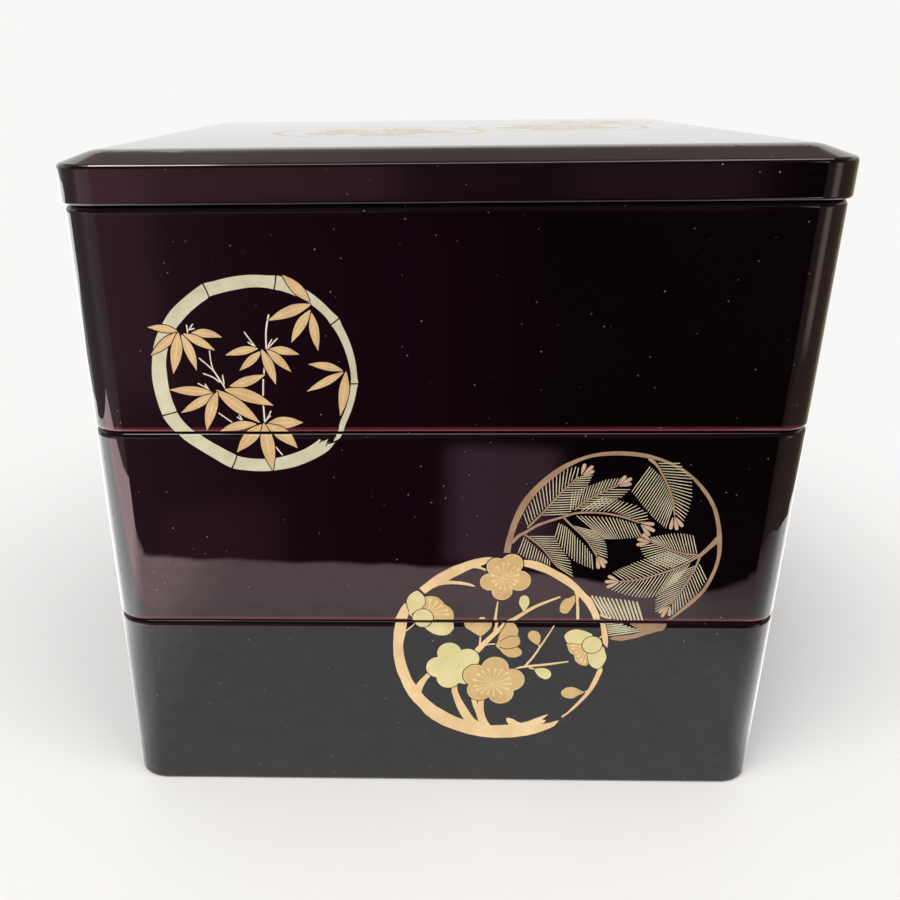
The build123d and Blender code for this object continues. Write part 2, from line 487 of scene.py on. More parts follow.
BAMBOO_LEAVES = [
    ((-70.1, 144.8), (-77.6, 145.9), 1.9, -0.25), ((-66.5, 144.2), (-58.7, 143.2), 2.2, 0.55),
    ((-68.4, 144.1), (-60.8, 139.8), 2.2, 0.15), ((-69, 143.8), (-66, 134.5), 2.4, 0.3),
    ((-70.1, 144.4), (-77.6, 138.6), 2.2, 0), ((-69.9, 144.3), (-72.2, 133.6), 2.9, 0.1),
    ((-49.7, 140.2), (-58.1, 138.5), 2.1, -0.25), ((-48.9, 139.4), (-54.7, 134.4), 2.1, 0),
    ((-46.5, 140), (-39, 138.6), 2.1, 0.3), ((-47.2, 139.8), (-41.3, 134), 2.2, 0.1),
    ((-48.6, 139.8), (-45.5, 130.6), 2.5, 0.25), ((-57.4, 130.2), (-48.1, 133.3), 2.5, -0.2),
    ((-62.6, 128.4), (-73.6, 129.2), 2.5, -0.1), ((-58.8, 129.2), (-46.5, 124.8), 3.3, 0.35),
    ((-62.2, 128), (-71.2, 122.8), 2.4, 0.1), ((-61.1, 128.9), (-50.3, 120), 3.3, 0.05),
    ((-61.1, 128.4), (-64.7, 117.8), 2.9, -0.35), ((-51.5, 119.6), (-61.1, 117.6), 2.4, -0.5),
    ((-49.5, 119.4), (-57, 111.6), 3.4, -0.25), ((-48.4, 119.4), (-38.8, 120), 3.3, 0.3),
    ((-48.4, 119.4), (-40.6, 112.8), 3.4, 0.5), ((-49.3, 119.6), (-47.6, 106.3), 3.6, -0.05),
    ((-35.7, 151.5), (-46.5, 147.5), 2.8, -0.2), ((-35.9, 152.5), (-42.3, 159), 2.6, -0.1),
    ((-35.3, 149.2), (-34, 139.6), 2.4, -0.1), ((-35.7, 150), (-40.8, 141.8), 2.5, -0.25),
    ((-28, 134.3), (-36.7, 136), 2.1, -0.35), ((-27.8, 133.8), (-37.4, 128.7), 2.1, 0.1),
    ((-27, 133.8), (-28.8, 121.9), 2.6, 0.15),
]


def draw_bamboo(art):
    """A ring of a bent bamboo stem, and seven sprays of leaves on a thin upright stem."""

    def at(angle, radius):
        turn = math.radians(angle)
        return BAMBOO_CENTRE[0] + radius * math.cos(turn), BAMBOO_CENTRE[1] + radius * math.sin(turn)

    rim = curve_through(BAMBOO_RIM, 3)
    ring = [at(angle, outer) for angle, _, outer in rim] + BAMBOO_FRAYED
    art.lay("pale_bamboo", ring + [at(angle, inner) for angle, inner, _ in reversed(rim)])
    for outer, inner in BAMBOO_NODES:
        middle = ((outer[0] + inner[0]) / 2 + 0.15, (outer[1] + inner[1]) / 2, 0.34)
        art.lay("bare", stroke([(*outer, 0.44), middle, (*inner, 0.4)]))
    for streak in BAMBOO_STREAKS:
        art.lay("bare", stroke(streak))
    for width, lines in ((0.42, BAMBOO_STEM), (0.32, BAMBOO_TWIGS)):
        for line in lines:
            art.lay("fine_line", stroke([(x, z, width) for x, z in line], 4))
    for base, tip, width, bow in BAMBOO_LEAVES:
        art.lay("gold_leaf", shaped(base, tip, width, LEAF, bow), 0.25)
        art.lay("light_gold_and_edge_highlight", shaped(base, tip, width, VEIN, bow))


PINE_RING_OUTER = [
    (16.1, 81.1), (16.2, 82.4), (16.8, 86.1), (18.2, 91.6), (20.3, 96.9), (23.7, 101.6), (28.2, 106),
    (32.4, 108.7), (37.7, 110.85), (42.95, 111.75), (48.5, 111.75), (54, 110.85), (59.8, 108.7),
    (65.05, 105.6), (70.05, 100.8), (73.5, 95.6), (75.45, 90.3), (76.5, 85.6), (76.9, 80.05), (76, 74.5),
    (74.2, 69.4), (71.3, 65.2), (67.6, 61.5), (65.3, 59.4),
]
PINE_RING_INNER = [
    (18.1, 81.1), (18.35, 83.7), (19.4, 89), (21.4, 94.3), (24.3, 99.3), (27.95, 103.3), (32.4, 107),
    (37.7, 109.7), (42.95, 110.45), (48.5, 110.4), (53.7, 109.65), (59, 108.1), (64.7, 104.7), (68.7, 100.6),
    (72.15, 95.6), (74.1, 90.3), (75, 85.6), (75.7, 79.8), (74.8, 74.5), (72.8, 69.4), (69.7, 65.5),
    (66.3, 61.5), (64.2, 59.4),
]
PINE_FOOT = [
    (64.5, 58.5), (64.2, 57), (63.2, 55.7), (62.1, 55.6), (58.4, 54.2), (55.8, 53.2), (51.8, 52.2),
    (48.9, 52.6), (48.3, 53), (49.2, 53.7), (51.8, 54), (54.7, 54.4), (57.2, 55.3), (56.9, 55.9),
    (53.9, 57.7), (53.9, 58.5),
]

# Rows of needles, as some of their roots and tips, how many there are, and at the foot how wide they are
PINE_FOOT_NEEDLES = [
    ([(50.6, 58.1, 46.8, 57.8), (56.5, 56, 47.7, 54.6), (57, 55.6, 48, 54)], 7, 0.42),
    ([
        (46.05, 60.5, 42, 67.3), (50.3, 59.55, 46.7, 66.5), (54.1, 59.5, 51.6, 65.9), (57.1, 59.5, 55, 65.3),
    ], 12, 0.62),
]
PINE_NEEDLES = [
    ([
        (22.4, 89.9, 21.2, 93.3), (25.6, 93.7, 24.1, 99), (27.9, 96.4, 27, 102.7),
        (31.5, 100.8, 31.8, 106.5), (33.5, 103.2, 34.4, 107.3), (34.8, 104, 35.2, 107),
    ], 18),
    ([
        (26.4, 92.9, 33.7, 93.3), (30.8, 99.4, 36.9, 99.7), (32.9, 102, 38.1, 102.1),
        (35.8, 104.3, 39.1, 104.8),
    ], 17),
    ([
        (33.9, 94.4, 34.1, 99.6), (36.2, 95.8, 36.9, 101.1), (38.9, 98.1, 39.9, 102.2),
        (41.6, 99.7, 42.9, 103.5), (45.8, 101.4, 46.8, 103.9),
    ], 17),
    ([(44.2, 100.6, 49.5, 100.6), (40.3, 98.4, 47.7, 98.5), (35.6, 94.9, 42, 95.2)], 9),
    ([
        (37, 94.2, 42.5, 98.3), (45.6, 94.1, 48.3, 96.9), (47.7, 93.2, 51.9, 95.8), (50, 92.2, 54.9, 93.7),
        (52.7, 90.7, 55.6, 90.8),
    ], 17),
    ([
        (35.8, 92.7, 44, 85.6), (44.3, 92.2, 47.9, 85.6), (46.9, 91.9, 49.8, 85.8), (51.9, 90.3, 54.3, 86.1),
    ], 17),
    ([
        (31.1, 90.3, 30.2, 86.1), (33.2, 89.3, 32.8, 81.9), (35.7, 86.6, 36.1, 78.7),
        (38.7, 83.6, 39.1, 77.2), (40.8, 80.8, 41.5, 76.1),
    ], 16),
    ([(34.8, 89.6, 41, 88), (38.5, 86.1, 44, 85), (39.9, 84.3, 44.7, 83.3), (41.6, 81.4, 45.3, 79.8)], 13),
    ([(21.7, 86, 20.2, 81), (24, 83.8, 23.2, 79.1), (26.9, 81.1, 26.3, 77.8), (29.2, 78.7, 29.3, 76.4)], 13),
    ([(22.9, 86.3, 30, 86.3), (27, 83, 32, 82.7), (29.7, 79.4, 35, 78.6), (32.3, 76.2, 36.1, 73.7)], 16),
    ([
        (54.3, 107.3, 50.2, 100), (57.6, 104.4, 53.4, 96.1), (60.3, 100.2, 57, 92), (61.9, 96.1, 60.5, 89),
    ], 19),
    ([
        (56.5, 108.3, 62.1, 108.3), (58.5, 104.5, 65.8, 103.8), (60.8, 100.4, 66.6, 98.5),
        (62.1, 96.5, 66.1, 93.8), (62.7, 93.6, 65.2, 91.3),
    ], 18),
    ([(70, 81.3, 68.3, 86.7), (67.2, 81.4, 65.3, 87.3), (64.8, 82, 62.2, 87.2), (58.5, 84.3, 56, 86)], 16),
    ([
        (58.5, 84, 54.1, 83.2), (60, 83.2, 54.6, 81.8), (61.5, 82.5, 55.3, 80.5), (65, 81.4, 58.2, 77.9),
        (69.5, 80.2, 63.5, 76.5),
    ], 14),
    ([
        (50.8, 72.4, 47.3, 75), (55, 73, 49.5, 76.3), (57.8, 73.9, 51.3, 77.2), (62.1, 75.9, 55.6, 79.3),
        (68, 78.8, 62, 81.6),
    ], 19),
    ([
        (50.3, 71.9, 47.5, 69.3), (54.5, 72.3, 51.3, 67.8), (57, 72.9, 54, 67.1), (61, 74.3, 57.4, 66.8),
        (63.5, 75.2, 60, 67.2), (68.5, 77.8, 65.3, 72),
    ], 20),
    ([
        (71.2, 77.6, 73.9, 72.7), (69.3, 73, 71.7, 68), (67.5, 69.2, 68.9, 64.6), (65.3, 65.2, 65.7, 61.2),
    ], 15),
    ([(64.9, 65.6, 60.6, 62.2), (67.2, 69.5, 60.3, 66.3), (70.6, 77.4, 64.6, 74.2)], 14),
]

# Stems with their widths, the share of these that is drawn, and the base and tip of each bud
PINE_STEMS = [
    [(22.6, 89.2, 0.7), (27, 94.4, 0.65), (31, 99.6, 0.6), (35.3, 104.3, 0.5)],
    [(35.2, 94.6, 0.6), (38, 97.2, 0.6), (41.5, 99.4, 0.55), (44, 100.8, 0.5), (46.1, 101.7, 0.45)],
    [
        (18.5, 84.6, 1.2), (20.2, 86.5, 1.1), (22.3, 87.8, 1), (25.2, 89.8, 0.9), (29, 91.3, 0.8),
        (32.5, 92.5, 0.75), (35, 93.4, 0.7), (38, 93.7, 0.65), (42, 93.6, 0.6), (46, 93, 0.6),
        (49.5, 92, 0.55), (52.9, 90.7, 0.5),
    ],
    [(32.2, 92.2, 0.6), (34, 90.3, 0.6), (37.1, 87.3, 0.6), (39.5, 84.6, 0.55), (42.3, 80.2, 0.45)],
    [
        (22, 86.7, 0.6), (24, 85.3, 0.6), (26.5, 83.1, 0.6), (28.4, 80.8, 0.5), (30.2, 78.3, 0.5),
        (32, 76.3, 0.4),
    ],
    [
        (54.1, 109.5, 1.2), (56, 107.8, 0.8), (58, 104.8, 0.6), (60.2, 100.8, 0.6), (61.6, 97, 0.55),
        (62.5, 92.9, 0.45),
    ],
    [
        (71.1, 80.5, 0.9), (69.5, 80.7, 0.7), (66.5, 81.1, 0.6), (63.5, 82, 0.55), (60, 83.5, 0.5),
        (57, 84.7, 0.45),
    ],
    [
        (71.1, 80.5, 1.1), (69.5, 79.4, 0.8), (67.3, 77.8, 0.7), (64.5, 76.2, 0.65), (60, 74.4, 0.6),
        (56.4, 73.1, 0.6), (53, 72.4, 0.5), (49.3, 72, 0.45),
    ],
    [
        (71.1, 80.5, 0.8), (70.6, 77.9, 0.7), (69.6, 74.8, 0.6), (68.5, 71.9, 0.6), (66.8, 68.4, 0.55),
        (65.1, 65.7, 0.5), (64.5, 64.6, 0.4),
    ],
]
PINE_STEM_SHARE = 0.85
PINE_BUD_WIDTH = 1.05
PINE_BUDS = [
    (36.1, 104.9, 36.9, 108.4), (36.6, 104.7, 39.6, 106.2), (36.5, 104.8, 39.2, 107.8),
    (46.3, 102, 48.2, 104.8), (46.6, 101.6, 50, 102.4), (46.6, 101.9, 50, 104.1), (53.5, 90.6, 57.6, 90.1),
    (53.6, 89.9, 56.6, 86.3), (53.7, 90.1, 58, 87.8), (42.3, 80, 43.2, 75.8), (42.8, 80.2, 45.4, 77.8),
    (42.6, 80, 45, 76.2), (62.1, 92.3, 61.9, 88.3), (63, 92.3, 65.3, 89.2), (62.6, 92.5, 63.8, 88),
    (56.8, 84.6, 52.8, 85.7), (56.5, 84.4, 52.8, 83.7), (56.8, 85, 54.2, 87.3), (49.3, 72.2, 45.8, 74),
    (49.3, 71.8, 45.7, 70), (49.3, 72, 44.9, 72), (64.2, 64.2, 61.4, 61.6), (64.6, 64, 64.8, 60.6),
    (64.3, 64, 62.4, 60.1),
]


def draw_pine(art):
    """A thin ring with nine needle sprays inside it, their tips in bud."""
    ring = curve_through(PINE_RING_OUTER, 4) + curve_through(PINE_RING_INNER, 4)[::-1]
    art.lay("soft_gold", grown(ring, -0.09))
    art.lay("soft_gold", PINE_FOOT)
    foot_needle = stroke([(44.3, 61.5, 0.5), (45.8, 60.5, 0.6), (47.9, 59.9, 0.5)])
    at_foot = [needle for row in PINE_FOOT_NEEDLES for needle in needles(*row)]
    in_sprays = [needle for row in PINE_NEEDLES for needle in needles(*row)]
    for needle in [*at_foot, foot_needle, *in_sprays]:
        art.lay("pine_needle", needle)
    for stem in PINE_STEMS:
        art.lay("soft_gold", stroke([(x, z, width * PINE_STEM_SHARE) for x, z, width in stem], 4), 0.1)
    art.lay("soft_gold", stroke([(75.4, 85.6, 1.8), (73.5, 83.3, 1.3), (71.9, 81.4, 1.1), (71.1, 80.5, 1.1)]))
    for x0, z0, x1, z1 in PINE_BUDS:
        art.lay("pine_bud", shaped((x0, z0), (x1, z1), PINE_BUD_WIDTH, BUD), 0.12)


# Branches, each as the gap round it and its outline, and twigs with their widths
PLUM_BRANCHES = [
    (0, [
        (-14.3, 58.5), (-14.9, 55), (-15.1, 51), (-15, 47), (-14.6, 44), (-14, 41), (-12.9, 38.2),
        (-11.9, 35.3), (-10.4, 32.3), (-8.9, 30.1), (-7.05, 28), (-5.45, 25.6), (-3.2, 23.6), (0, 21.4),
        (4, 19.6), (8, 18.1), (12, 17.2), (16, 16.75), (20, 16.9), (22, 17.05), (26, 17.75), (28.5, 18.5),
        (30.4, 19.3), (32.3, 20.25), (34.2, 21.45), (35.6, 23.5), (34.7, 23.35), (32.8, 22.65), (29.8, 21.9),
        (31, 22.6), (31.6, 23.5), (30.2, 23.9), (31.1, 24.6), (32.05, 25.75), (30.85, 25.4), (28.5, 24.3),
        (26.1, 23.1), (23.95, 22.5), (22.75, 23), (21.6, 23.8), (20.15, 24.4), (19.4, 24.2), (19.55, 23.1),
        (20.3, 21.8), (16, 21.5), (14.7, 21.5), (13.85, 22.8), (12.95, 24.8), (12.4, 27.3), (12.3, 29.8),
        (12.5, 31.3), (10.8, 31.3), (10.5, 29.1), (10.05, 31.2), (8.5, 31.2), (9.1, 28.7), (10, 26.4),
        (10.55, 24.4), (11, 22.8), (9.5, 24.1), (8.2, 26.2), (6.8, 28.7), (5.45, 31.2), (4.4, 33.9),
        (4, 36.4), (2.6, 36), (2.5, 33.9), (3.2, 31.4), (4.1, 28.5), (5.2, 26), (6.5, 23.5), (4, 24.6),
        (2.05, 25.7), (0, 27.1), (-2.05, 28.5), (-4, 30.3), (-5.5, 31.9), (-6.5, 33.3), (-6.6, 34),
        (-6.2, 35.4), (-5.6, 36.9), (-4.8, 38.4), (-3.9, 39.6), (-4.9, 40.6), (-6.1, 39.2), (-7.3, 37.8),
        (-8.3, 36.2), (-9.55, 38.4), (-10.5, 41.2), (-11.35, 44.2), (-11.9, 47), (-12.2, 49.8), (-12, 52),
        (-11.5, 54.2), (-11.2, 56.7), (-10.95, 58.5),
    ]),
    (0, [
        (-14.4, 59.5), (-14, 60.5), (-12.9, 62.8), (-11.8, 64.7), (-11.2, 64.6), (-11.1, 63.7),
        (-10.7, 62.3), (-10.5, 61.2), (-10.95, 59.5),
    ]),
    (0, [
        (-7.5, 69.6), (-5.95, 71.05), (-4.05, 72.8), (-2, 74.4), (0, 75.6), (2, 76.8), (4.05, 77.6),
        (6, 78.4), (8, 79.1), (10.2, 79.6), (12, 79.8), (13.2, 79.7), (12.3, 78.55), (11.4, 77.7),
        (10.7, 77.4), (9.9, 76.95), (9.9, 76.65), (10.95, 76.2), (11.7, 75.6), (11.2, 75.45), (10.2, 75.8),
        (9.05, 76.15), (7.85, 76.3), (6, 75.45), (4.05, 74.25), (2, 73.1), (0.6, 72.2), (2, 72.1),
        (4.3, 71.9), (6.7, 71.4), (8.1, 70.7), (8.55, 70.3), (7.6, 70.3), (6, 70.7), (4.05, 70.95),
        (1.9, 71.05), (0, 70.95), (-1.9, 70.55), (-4.05, 69.4), (-5.5, 68.1), (-5.9, 67.9),
    ]),
    (0.3, [
        (21.9, 78.9), (23.95, 78.8), (26.1, 78.3), (28.5, 77.2), (30.4, 76.05), (32.3, 75), (34.2, 73.9),
        (35.85, 72.6), (37.5, 71.05), (38.95, 69.5), (40.4, 67.8), (42.05, 66.3), (43, 64.4), (43.95, 62.5),
        (44.7, 60.8), (45, 59.5), (43, 59.5), (42.75, 60.3), (42.05, 62), (40.6, 64.4), (38.95, 66.5),
        (38.2, 67.2), (38.35, 65.3), (38.7, 62.95), (38.95, 59.5), (38.1, 59.5), (37.75, 64.4), (37.4, 66.8),
        (37.3, 67.6), (37.05, 68.1), (36.8, 68.9), (35.85, 69.9), (34, 71.2), (32.05, 72.5), (30, 73.8),
        (28, 74.9), (26.1, 75.6), (23.95, 76.4), (22.05, 76.9),
    ]),
    (0.2, [
        (45.1, 58.5), (46.5, 58.5), (47.2, 56.05), (47.65, 54.15), (47.95, 52), (47.9, 49.75), (46.6, 51.3),
        (46.2, 52.95), (45.95, 54.15), (45.6, 56.05),
    ]),
    (0, [
        (45.9, 42.6), (46.9, 43), (47.2, 41.6), (46.6, 39.7), (45.9, 37.3), (44.7, 34.7), (43.7, 33),
        (42.3, 31), (40.1, 28.2), (38, 26), (36.45, 24.5), (36.1, 25), (38, 26.8), (39.4, 28.7),
        (41.1, 31.1), (42.5, 33.2), (43.7, 35.6), (44.7, 38.5), (45.4, 40.9),
    ]),
]
PLUM_TWIGS = [
    [(9.9, 48.8, 1.8), (13.5, 53.2, 1.5), (17, 57, 1.4), (18.9, 58.7, 1.35)],
    [(19.3, 59, 1.3), (20.3, 59.6, 1.2), (26, 63.7, 0.95), (32.8, 66.9, 0.55)],
    [(14.6, 54.9, 0.9), (15.3, 58.5, 0.9)], [(14.65, 59.4, 0.8), (14.9, 62.5, 0.6), (15.15, 65.2, 0.35)],
    [(10.6, 53.7, 0.5), (10.4, 50.6, 0.5)], [(12.1, 50.5, 0.4), (13.7, 50.9, 0.4), (15.3, 50.9, 0.4)],
    [(21.4, 42.4, 0.5), (24.3, 43.1, 0.72), (30, 43.8, 0.75), (36.7, 44.9, 0.45)],
    [(24.2, 43.4, 0.65), (26.2, 46.2, 0.62), (28.2, 50, 0.55), (30.3, 54.1, 0.45), (31.8, 57.2, 0.3)],
    [(25.5, 42.7, 0.5), (27.4, 42, 0.5)], [(27.5, 51.2, 0.5), (28.1, 50, 0.5)],
    [(-11.6, 55, 0.35), (-8.2, 58.2, 0.35)], [(45.5, 53.3, 0.4), (46.3, 54.1, 0.4)],
    [(42, 34, 0.6), (43.2, 34.3, 0.6)],
]

# Buds and half-open flowers, by layer. Where the seam cuts a flower, each part ends at one of its edges
PLUM_BUDS = [
    ("blossom_gold", [
        (37, 67.5), (35.6, 66.6), (34.4, 66.3), (33.5, 65.1), (33.1, 63.7), (33.25, 62.2), (34.2, 61.5),
        (35.4, 61.6), (36.3, 62.95), (37.05, 64.6), (37.3, 65.8),
    ]),
    ("blossom_gold", [
        (27.5, 50.8), (26.1, 51.5), (24.9, 52.7), (24.4, 54.1), (24.9, 55.2), (26, 55.6), (27.3, 55.1),
        (28.1, 53.8), (28.1, 52.2),
    ]),
    ("blossom_pale", [
        (27.05, 42.05), (28.95, 42.6), (30.6, 42.3), (31.8, 41.3), (32.05, 40.1), (31.6, 39.1), (30.5, 38.6),
        (29.2, 39.1), (28, 40.1),
    ]),
    ("blossom_gold", [
        (42.3, 34.3), (41.8, 34.3), (40, 35.4), (38.5, 35.8), (36.8, 35.5), (35.6, 34.4), (35.5, 33.4),
        (36.3, 32.3), (38, 31.7), (39.4, 31.9), (40.6, 32.8), (42.3, 33.8),
    ]),
    ("blossom_gold", [
        (5.8, 58.5), (5.7, 57.5), (6.2, 56.5), (8, 55.2), (9.7, 54), (10.6, 53.6), (11.6, 54.3), (13, 55.8),
        (13.7, 57), (13.85, 58.5),
    ]),
    ("blossom_pale", [(9.9, 59.5), (11.8, 59.5), (11.5, 60.1), (10.3, 60.1)]),
]
SEAM_EDGES = (58.5, 59.5)

# Flowers seen from the front: middle, petals as blossom() takes them, and the knobs of the stamens
OPEN_FLOWERS = [
    ((14.6, 36.9), [(83, 5.45, 4.1), (14, 5.9, 3.9), (-51, 4.3, 3.85), (211, 4.3, 3.8), (149, 5.85, 3.75)],
     [
        (11.5, 41.5), (13.3, 42), (15.4, 42), (17.3, 41.9), (18.9, 40.8), (19.8, 38.9), (20, 36.9),
        (19.3, 35), (17.5, 33.5), (15.3, 32.9), (13.4, 33.1), (11.5, 33.5), (10.2, 34.6), (9.5, 36),
        (9.2, 38.2), (10.3, 40.2),
    ]),
    ((16.4, 73.2), [(63, 4.9, 3.2), (-12, 4.7, 3.25), (-92, 4.35, 2.95), (200, 4.05, 2.75), (120, 4.1, 2.8)],
     [
        (14.6, 76.6), (16.4, 77.6), (17.7, 77.6), (19.4, 76.5), (20.6, 75.8), (20.5, 74.1), (20.2, 72.2),
        (19.6, 71), (18.7, 70.1), (17, 69.5), (15.7, 69.7), (14.5, 71), (13.5, 72.1), (13.3, 74),
    ]),
]


def draw_plum(art):
    """A ring that is an old plum branch, with shoots, buds and blossoms."""
    for gap, outline in PLUM_BRANCHES:
        art.lay("plum_gold", outline, gap)
    for line in PLUM_TWIGS:
        art.lay("plum_gold", stroke(line, 4))

    # Buds and half-open flowers
    for layer, outline in PLUM_BUDS:
        crosses_seam = any(z in SEAM_EDGES for _, z in outline)
        art.lay(layer, outline if crosses_seam else rounded(outline), 0.24)
    art.lay("blossom_pale", shaped((22.9, 61.9), (22.7, 67), 3, BUD), 0.12)
    art.lay("blossom_gold", rounded([
        (17.4, 56.8), (18.3, 58.1), (20, 57.95), (20.95, 57), (21.55, 55.6), (21.4, 54.1), (22, 52.95),
        (22.3, 51.5), (21.7, 50.3), (20.95, 50), (22.15, 49.5), (23, 48.2), (22.5, 47), (20.95, 46.3),
        (19.05, 46.5), (17.4, 47.7), (16.4, 49), (15.2, 50.3), (15.6, 51.5), (15.8, 52.7), (16.1, 54.1),
        (16.7, 55.6),
    ]), 0.3)
    for line in (
        [(21.4, 53.55), (19.3, 53.7), (17.6, 52.8), (16.3, 51.9)],
        [(21.5, 50), (19.8, 49.4), (18.1, 49.3), (16.4, 49.8)],
    ):
        art.lay("bare", stroke([(x, z, 0.26) for x, z in line], 4))

    # The flower seen from its side at the right, and the one at the left that crosses the seam
    art.lay("blossom_pale", rounded([
        (35.1, 53.8), (35.85, 55.1), (37.05, 55.8), (38.5, 56.1), (40.1, 55.8), (41.8, 55.1), (43.2, 53.9),
        (40.4, 50.8), (37.8, 51), (36.3, 51.3), (35.5, 52.5),
    ]), 0.3)
    art.lay("blossom_gold", rounded([
        (36.4, 51.2), (36.3, 50), (37, 48.2), (38.3, 47.2), (38.5, 46.4), (38.9, 45.2), (40.3, 44),
        (42.4, 43.6), (43.4, 46.5), (43, 50),
    ]), 0.18)
    for end in ((37.6, 50.6), (37.9, 49.4), (38.9, 48.2), (39.6, 46.9), (40.5, 45.6), (41.7, 45)):
        art.stamen((42.4, 50.2), 0.2, (end, end), 0.36, 0.44)
    art.lay("blossom_pale", rounded([
        (46.45, 50.3), (47.3, 48.7), (47.9, 46.5), (47.5, 44.7), (46.6, 42.9), (45.4, 42.5), (43.95, 43.2),
        (43, 44.4), (42.5, 46.1), (42.3, 48), (43.3, 50.5),
    ]), 0.2)
    art.lay("blossom_pale", disc(43.4, 50.8, 2.85), 0.26)
    art.lay("blossom_pale", rounded([
        (-11.1, 65.5), (-10.3, 67.3), (-8.3, 68.8), (-6.8, 67.8), (-5.65, 65.9), (-5.5, 64.5), (-5.9, 63.1),
        (-9, 61.7), (-9.8, 60.9), (-10.4, 62), (-10.9, 63.9),
    ]), 0.24)
    art.lay("blossom_gold", [
        (-5.8, 66.9), (-4.05, 67.1), (-2.4, 66.8), (-0.95, 65.6), (-0.1, 64.3), (1.2, 63.5), (2.3, 62.2),
        (2.6, 60.6), (2.5, 59.3), (-6, 59.3), (-6.5, 62.9), (-5.5, 64.9),
    ], 0.24)
    for end in ((-4.3, 65.8), (-2.4, 65.2), (-1.1, 63.9), (0.4, 62.5), (0.8, 60.9)):
        art.stamen((-4.9, 61), 0.2, (end, end), 0.38, 0.46)
    art.lay("blossom_pale", [
        (-7.6, 58.5), (-6.8, 57.1), (-5.95, 56.6), (-4.8, 55.5), (-3.45, 54.5), (-1.8, 53.9), (-0.1, 53.8),
        (1.1, 54.2), (2, 55.05), (2.7, 56.3), (2.5, 58.5),
    ], 0.2)
    art.lay("blossom_pale", disc(-6.4, 59.7, 3), 0.26)
    art.lay("plum_gold", stroke([(-10.4, 61.4, 0.4), (-9.6, 60.4, 0.4)]))

    # Open flowers: one seen from behind, and those seen from the front with their stamens
    petals = [(turn, 4.6, 3.6) for turn in (30, 107, 188, 252, 320)]
    art.lay("blossom_pale", blossom((2.9, 43.3), petals), 0.3)
    for centre, petals, ends in OPEN_FLOWERS:
        flower = blossom(centre, petals)
        # The light gold rim left round each open flower is a painted highlight on the raised petal edges
        art.lay("light_gold_and_edge_highlight", flower, 0.32)
        art.lay("blossom_gold", grown(flower, -0.2))
        for end in ends:
            away = Vector((end[0] - centre[0], end[1] - centre[1]))
            start, stop = Vector(centre) + away * 0.16, Vector(centre) + away * 0.92
            art.stamen(start, 0.16, (stop, end), 0.32, 0.44)
        art.lay("light_gold_and_edge_highlight", disc(*centre, 0.5))


# Finishes of the artwork: light and dark tone, record slot, and how far the metal stands out, in millimetres
finishes = {
    "pale_bamboo": ((226, 226, 192), (204, 204, 166), "maki_e_pale_gold", 0.05),
    "gold_leaf": ((233, 205, 150), (212, 181, 128), "maki_e_gold", 0.06),
    # Light gold of veins, stamens and flower middles, and the painted highlight round open flowers
    "light_gold_and_edge_highlight": ((248, 222, 162), (236, 204, 144), "maki_e_pale_gold", 0.075),
    "fine_line": ((250, 240, 226), (232, 218, 200), "maki_e_pale_gold", 0.04),
    "soft_gold": ((184, 152, 120), (160, 128, 98), "maki_e_gold", 0.04),
    "pine_needle": ((226, 216, 182), (204, 194, 158), "maki_e_pale_gold", 0.03),
    "pine_bud": ((216, 186, 156), (196, 162, 134), "maki_e_gold", 0.045),
    "plum_gold": ((248, 220, 168), (232, 196, 140), "maki_e_gold", 0.055),
    "blossom_gold": ((226, 195, 136), (206, 172, 112), "maki_e_gold", 0.065),
    "blossom_pale": ((238, 226, 166), (222, 210, 146), "maki_e_pale_gold", 0.06),
}

# How deep the metal is let into the wall, and the heights above a tier's foot and below its rim at which it
# bends with the rounding. It ends at the first of each. Millimetres
sunk = 0.03
foot_levels = (0.3, 0.45, 0.65, foot_fillet)
rim_levels = (0.7, 1.0, 1.3, 1.6, rim_fillet)


def on_front(x, z, level, height):
    """A point of the front of a tier, standing out by height, in metres. Foot and rim are rounded."""
    bottom = level * tier_height
    top = bottom + tier_height
    radius, centre = None, z
    if z < bottom + foot_fillet:
        radius, centre = foot_fillet, bottom + foot_fillet
    elif z > top - rim_fillet:
        radius, centre = rim_fillet, top - rim_fillet
    if radius is None:
        return Vector((x, -tier_half - height, z)) * MM
    rise = max(-1.0, min(1.0, (z - centre) / radius))
    reach = radius + height
    out = tier_half - radius + reach * math.sqrt(1 - rise * rise)
    return Vector((x, -out, centre + reach * rise)) * MM


def raised_solid(name, places, triangles, level, height):
    """A closed thin solid over triangles on the front of a tier. Where two parts of it meet in one point
    only, each part gets a point of its own, so that the solid stays closed and clean there."""
    corner_of = {}
    parent = []

    def root(i):
        """The corner that stands for all the corners joined with this one."""
        while parent[i] != i:
            parent[i] = parent[parent[i]]
            i = parent[i]
        return i

    edges = {}
    for t, triangle in enumerate(triangles):
        for k, v in enumerate(triangle):
            corner_of[t, v] = len(parent)
            parent.append(len(parent))
            w = triangle[(k + 1) % 3]
            edges.setdefault((min(v, w), max(v, w)), []).append((t, v, w))
    for sides in edges.values():
        if len(sides) == 2:
            (a, v, w), (b, _, _) = sides
            for point in (v, w):
                parent[root(corner_of[a, point])] = root(corner_of[b, point])
    index, points = {}, []
    for (t, v), corner in corner_of.items():
        key = root(corner)
        if key not in index:
            index[key] = len(points)
            points.append(places[v])
    number = {key: index[root(corner)] for key, corner in corner_of.items()}
    count = len(points)
    upper = [on_front(x, z, level, height) for x, z in points]
    lower = [on_front(x, z, level, -sunk) for x, z in points]
    faces = []
    for t, triangle in enumerate(triangles):
        a, b, c = (number[t, v] for v in triangle)
        faces += [(a, b, c), (c + count, b + count, a + count)]
    for sides in edges.values():
        if len(sides) == 1:
            t, v, w = sides[0]
            a, b = number[t, v], number[t, w]
            faces.append((b, a, a + count, b + count))
    mesh = bpy.data.meshes.new(name)
    mesh.from_pydata(upper + lower, [], faces)
    mesh.update()
    piece = bpy.data.objects.new(name, mesh)
    scene.collection.objects.link(piece)
    return piece


